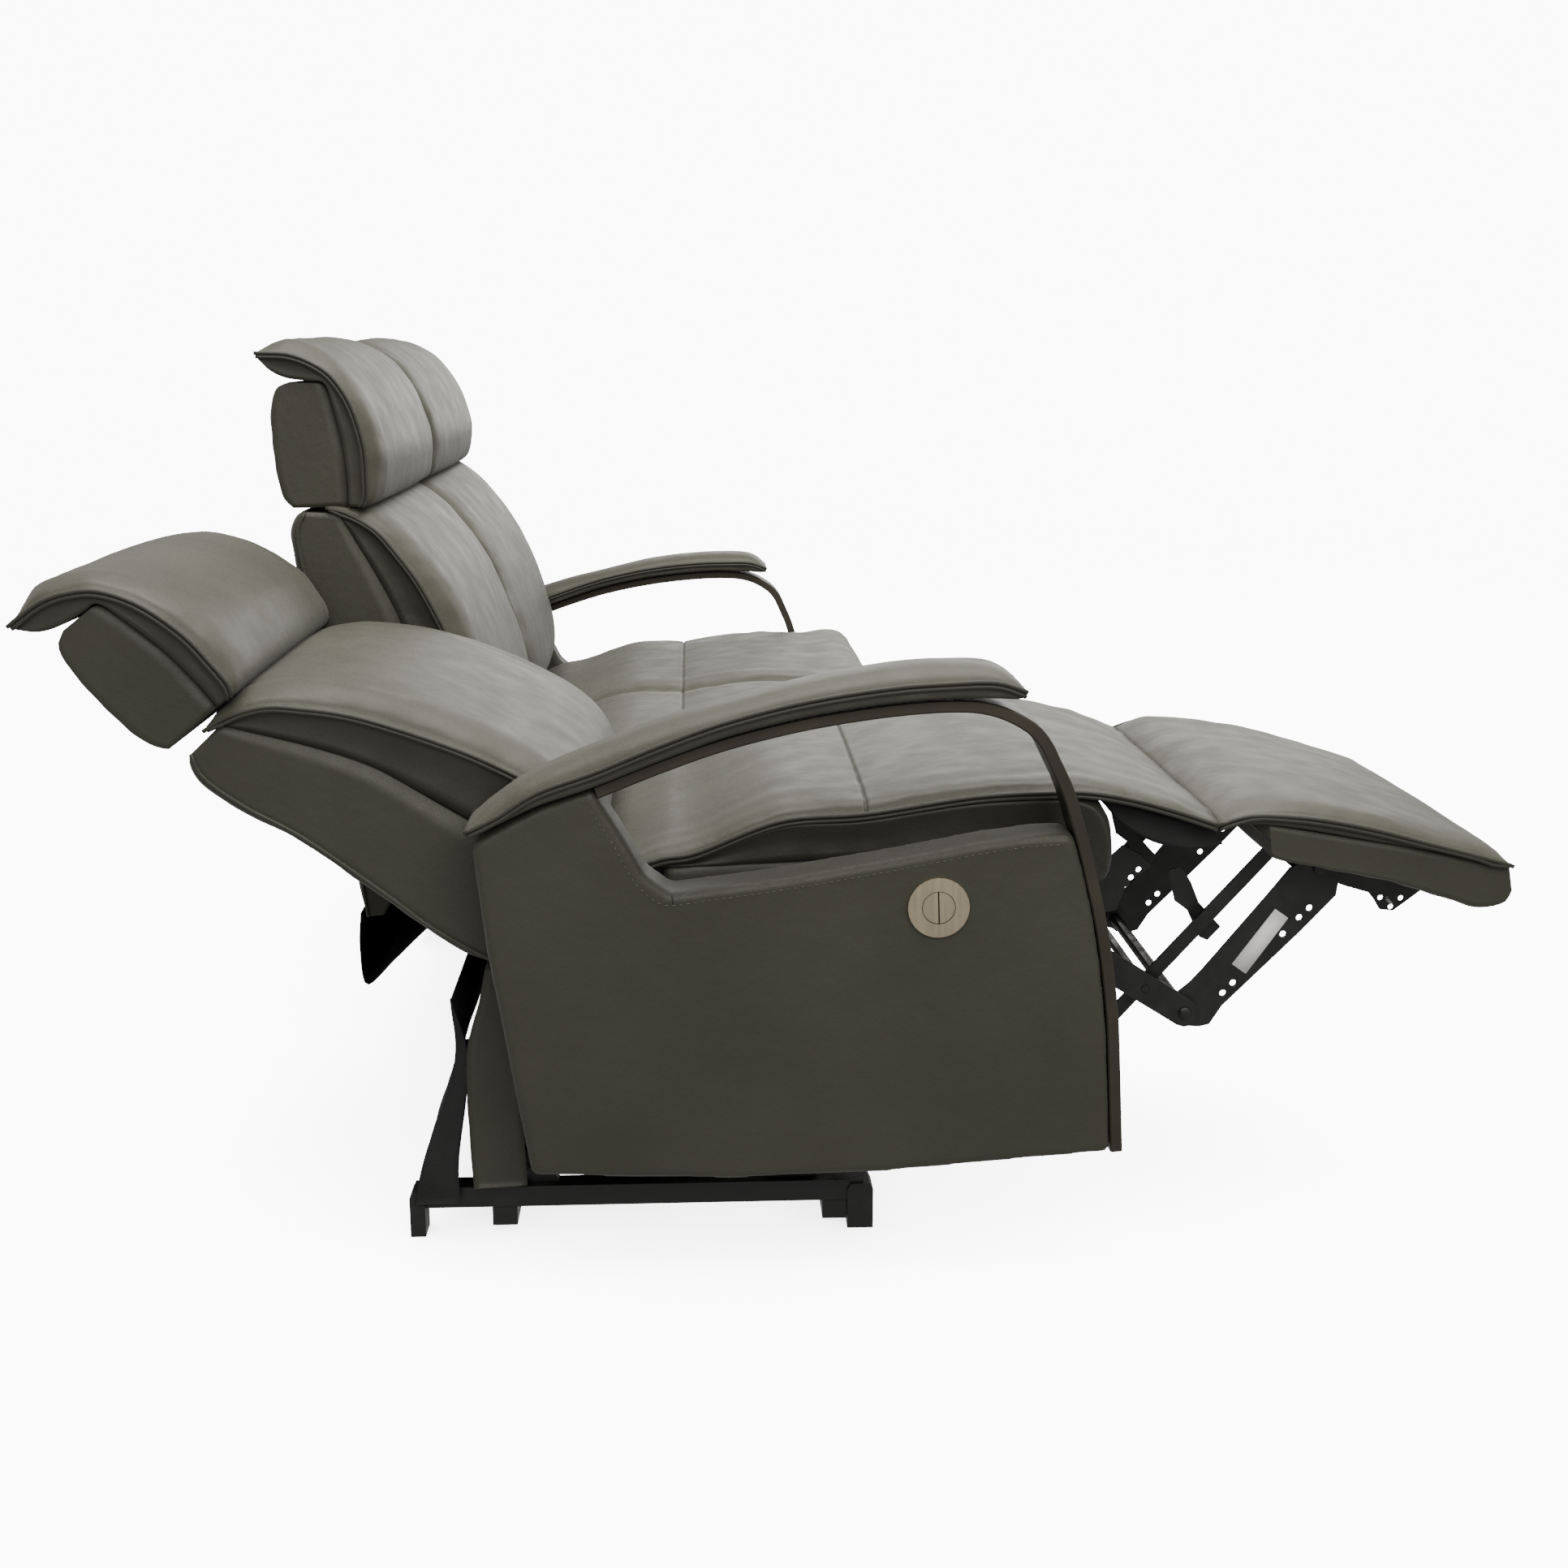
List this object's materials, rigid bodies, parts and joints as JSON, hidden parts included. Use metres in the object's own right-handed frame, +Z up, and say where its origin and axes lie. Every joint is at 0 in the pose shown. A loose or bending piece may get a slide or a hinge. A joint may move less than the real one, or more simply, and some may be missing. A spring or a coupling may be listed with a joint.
{
  "type": "reclining sofa",
  "caption": "Reclining leather sofa with padded side arms, flat metal arm bars, a lift and footrest linkage on each end seat, and tilting headrests.",
  "frame": {"origin": "on the floor, under the middle of the sofa's box as it stands with the near end seat reclined", "axes": "+X to the front of the sofa, +Y from the reclined end seat across to the upright end seat, +Z up"},
  "size_m": [1.7152, 1.964, 1.0638],
  "materials": {
    "leather": "satin grained",
    "leather_panel": "satin grained",
    "bronze_bar": "satin metallic bronze",
    "satin_nickel": "satin",
    "black_steel": "semi-gloss black",
    "black_plastic": "matte",
    "bright_rod": "polished"
  },
  "bodies": {
    "base": {"near_rail_outer": "black_steel", "near_rail_inner": "black_steel", "far_rail_outer": "black_steel", "far_rail_inner": "black_steel", "tie_bar_front": "black_steel", "tie_bar_rear": "black_steel", "middle_seat_box": "leather_panel", "middle_seat_cushion": "leather", "middle_back_shell": "leather", "middle_back_cushion": "leather"},
    "near_front_swing": {"near_front_swing": "black_steel"},
    "near_rear_swing": {"near_rear_swing": "black_steel"},
    "near_seat": {"near_seat_frame": "black_steel", "near_seat_box": "leather_panel", "near_seat_cushion": "leather", "near_arm_panel": "leather_panel", "near_arm_bar": "bronze_bar", "near_arm_pad": "leather", "near_button_plate": "satin_nickel", "near_rear_flap": "leather"},
    "near_backrest": {"near_back_shell": "leather", "near_back_cushion": "leather"},
    "near_headrest": {"near_headrest_shell": "leather", "near_headrest_cushion": "leather"},
    "near_footrest": {"near_footrest_board": "leather_panel", "near_footrest_pad": "leather", "near_footrest_bracket": "black_steel"},
    "near_foot_link_lower": {"near_foot_link_lower": "black_steel"},
    "near_foot_link_long": {"near_foot_link_long": "black_steel"},
    "near_foot_link_cross": {"near_foot_link_cross": "black_steel"},
    "near_actuator_motor": {"near_actuator_motor": "black_plastic"},
    "near_actuator_rod": {"near_actuator_rod": "bright_rod"},
    "near_button_front": {"near_button_front": "satin_nickel"},
    "near_button_rear": {"near_button_rear": "satin_nickel"},
    "far_front_swing": {"far_front_swing": "black_steel"},
    "far_rear_swing": {"far_rear_swing": "black_steel"},
    "far_seat": {"far_seat_frame": "black_steel", "far_seat_box": "leather_panel", "far_seat_cushion": "leather", "far_arm_panel": "leather_panel", "far_arm_bar": "bronze_bar", "far_arm_pad": "leather", "far_button_plate": "satin_nickel", "far_rear_flap": "leather"},
    "far_backrest": {"far_back_shell": "leather", "far_back_cushion": "leather"},
    "far_headrest": {"far_headrest_shell": "leather", "far_headrest_cushion": "leather"},
    "far_footrest": {"far_footrest_board": "leather_panel", "far_footrest_pad": "leather", "far_footrest_bracket": "black_steel"},
    "far_foot_link_lower": {"far_foot_link_lower": "black_steel"},
    "far_foot_link_long": {"far_foot_link_long": "black_steel"},
    "far_foot_link_cross": {"far_foot_link_cross": "black_steel"},
    "far_actuator_motor": {"far_actuator_motor": "black_plastic"},
    "far_actuator_rod": {"far_actuator_rod": "bright_rod"},
    "far_button_front": {"far_button_front": "satin_nickel"},
    "far_button_rear": {"far_button_rear": "satin_nickel"},
    "middle_headrest": {"middle_headrest_shell": "leather", "middle_headrest_cushion": "leather"}
  },
  "joints": [
    {"name": "near_recline", "type": "hinge", "parent": "base", "child": "near_front_swing", "pos_m": [0.0107, 0, 0.085], "axis": [0, 1, 0], "range_deg": [-53.56, 0]},
    {"name": "near_rear_lift", "type": "hinge", "parent": "base", "child": "near_rear_swing", "pos_m": [-0.30404, 0, 0.085], "axis": [0, 1, 0], "range_deg": [-55.85, 0]},
    {"name": "near_seat_tilt", "type": "hinge", "parent": "near_front_swing", "child": "near_seat", "pos_m": [0.05299, 0, 0.34154], "axis": [0, 1, 0], "range_deg": [0, 55.77]},
    {"name": "near_back_recline", "type": "hinge", "parent": "near_seat", "child": "near_backrest", "pos_m": [-0.22045, 0, 0.45873], "axis": [0, 1, 0], "range_deg": [0, 44.01]},
    {"name": "near_footrest_fold", "type": "hinge", "parent": "near_seat", "child": "near_footrest", "pos_m": [0.44602, 0, 0.56339], "axis": [0, 1, 0], "range_deg": [0, 78.01]},
    {"name": "near_lower_link_pivot", "type": "hinge", "parent": "near_seat", "child": "near_foot_link_lower", "pos_m": [0.28602, 0, 0.38332], "axis": [0, 1, 0], "range_deg": [0, 78.01]},
    {"name": "near_long_link_pivot", "type": "hinge", "parent": "near_foot_link_lower", "child": "near_foot_link_long", "pos_m": [0.49609, 0, 0.25008], "axis": [0, 1, 0], "range_deg": [-78.01, 0]},
    {"name": "near_cross_link_pivot", "type": "hinge", "parent": "near_foot_link_lower", "child": "near_foot_link_cross", "pos_m": [0.44567, 0, 0.28206], "axis": [0, 1, 0], "range_deg": [-78.01, 0]},
    {"name": "near_motor_pivot", "type": "hinge", "parent": "base", "child": "near_actuator_motor", "pos_m": [-0.3293, 0, 0.078], "axis": [0, 1, 0], "range_deg": [-0.727, 0]},
    {"name": "near_rod_stroke", "type": "slide", "parent": "near_actuator_motor", "child": "near_actuator_rod", "axis": [0.9442, 0, 0.3293], "range_m": [-0.10816, 0]},
    {"name": "near_headrest_tilt", "type": "hinge", "parent": "near_backrest", "child": "near_headrest", "pos_m": [-0.60845, 0, 0.68117], "axis": [0, 1, 0], "range_deg": [-8, 32]},
    {"name": "near_button_front_press", "type": "slide", "parent": "near_seat", "child": "near_button_front", "axis": [0, 1, 0], "range_m": [0, 0.002], "stiffness_N_per_m": 400},
    {"name": "near_button_rear_press", "type": "slide", "parent": "near_seat", "child": "near_button_rear", "axis": [0, 1, 0], "range_m": [0, 0.002], "stiffness_N_per_m": 400},
    {"name": "far_recline", "type": "hinge", "parent": "base", "child": "far_front_swing", "pos_m": [0.0107, 0, 0.085], "axis": [0, 1, 0], "range_deg": [0, 53.56]},
    {"name": "far_rear_lift", "type": "hinge", "parent": "base", "child": "far_rear_swing", "pos_m": [-0.30404, 0, 0.085], "axis": [0, 1, 0], "range_deg": [0, 55.85]},
    {"name": "far_seat_tilt", "type": "hinge", "parent": "far_front_swing", "child": "far_seat", "pos_m": [-0.17056, 0, 0.2714], "axis": [0, 1, 0], "range_deg": [-55.77, 0]},
    {"name": "far_back_recline", "type": "hinge", "parent": "far_seat", "child": "far_backrest", "pos_m": [-0.4393, 0, 0.399], "axis": [0, 1, 0], "range_deg": [-44.01, 0]},
    {"name": "far_footrest_fold", "type": "hinge", "parent": "far_seat", "child": "far_footrest", "pos_m": [0.2307, 0, 0.478], "axis": [0, 1, 0], "range_deg": [-78.01, 0]},
    {"name": "far_lower_link_pivot", "type": "hinge", "parent": "far_seat", "child": "far_foot_link_lower", "pos_m": [0.0639, 0, 0.3042], "axis": [0, 1, 0], "range_deg": [-78.01, 0]},
    {"name": "far_long_link_pivot", "type": "hinge", "parent": "far_foot_link_lower", "child": "far_foot_link_long", "pos_m": [-0.03163, 0, 0.07452], "axis": [0, 1, 0], "range_deg": [0, 78.01]},
    {"name": "far_cross_link_pivot", "type": "hinge", "parent": "far_foot_link_lower", "child": "far_foot_link_cross", "pos_m": [-0.00871, 0, 0.12964], "axis": [0, 1, 0], "range_deg": [0, 78.01]},
    {"name": "far_motor_pivot", "type": "hinge", "parent": "base", "child": "far_actuator_motor", "pos_m": [-0.3293, 0, 0.078], "axis": [0, 1, 0], "range_deg": [0, 0.727]},
    {"name": "far_rod_stroke", "type": "slide", "parent": "far_actuator_motor", "child": "far_actuator_rod", "axis": [0.94, 0, 0.3411], "range_m": [0, 0.10816]},
    {"name": "far_headrest_tilt", "type": "hinge", "parent": "far_backrest", "child": "far_headrest", "pos_m": [-0.5473, 0, 0.833], "axis": [0, 1, 0], "range_deg": [0, 40]},
    {"name": "far_button_front_press", "type": "slide", "parent": "far_seat", "child": "far_button_front", "axis": [0, -1, 0], "range_m": [0, 0.002], "stiffness_N_per_m": 400},
    {"name": "far_button_rear_press", "type": "slide", "parent": "far_seat", "child": "far_button_rear", "axis": [0, -1, 0], "range_m": [0, 0.002], "stiffness_N_per_m": 400},
    {"name": "middle_headrest_tilt", "type": "hinge", "parent": "base", "child": "middle_headrest", "pos_m": [-0.5473, 0, 0.833], "axis": [0, 1, 0], "range_deg": [0, 40]}
  ],
  "couplings": [
    {"joint": "near_rear_lift", "follows": "near_recline", "ratio": 1.0426},
    {"joint": "near_seat_tilt", "follows": "near_recline", "ratio": -1.0411},
    {"joint": "near_back_recline", "follows": "near_recline", "ratio": -0.82151},
    {"joint": "near_footrest_fold", "follows": "near_recline", "ratio": -1.4563},
    {"joint": "near_lower_link_pivot", "follows": "near_recline", "ratio": -1.4563},
    {"joint": "near_long_link_pivot", "follows": "near_recline", "ratio": 1.4563},
    {"joint": "near_cross_link_pivot", "follows": "near_recline", "ratio": 1.4563},
    {"joint": "near_motor_pivot", "follows": "near_recline", "ratio": 0.01339},
    {"joint": "near_rod_stroke", "follows": "near_recline", "m_per_rad": 0.1156},
    {"joint": "far_rear_lift", "follows": "far_recline", "ratio": 1.0426},
    {"joint": "far_seat_tilt", "follows": "far_recline", "ratio": -1.0411},
    {"joint": "far_back_recline", "follows": "far_recline", "ratio": -0.82151},
    {"joint": "far_footrest_fold", "follows": "far_recline", "ratio": -1.4563},
    {"joint": "far_lower_link_pivot", "follows": "far_recline", "ratio": -1.4563},
    {"joint": "far_long_link_pivot", "follows": "far_recline", "ratio": 1.4563},
    {"joint": "far_cross_link_pivot", "follows": "far_recline", "ratio": 1.4563},
    {"joint": "far_motor_pivot", "follows": "far_recline", "ratio": 0.01339},
    {"joint": "far_rod_stroke", "follows": "far_recline", "m_per_rad": 0.1156}
  ]
}
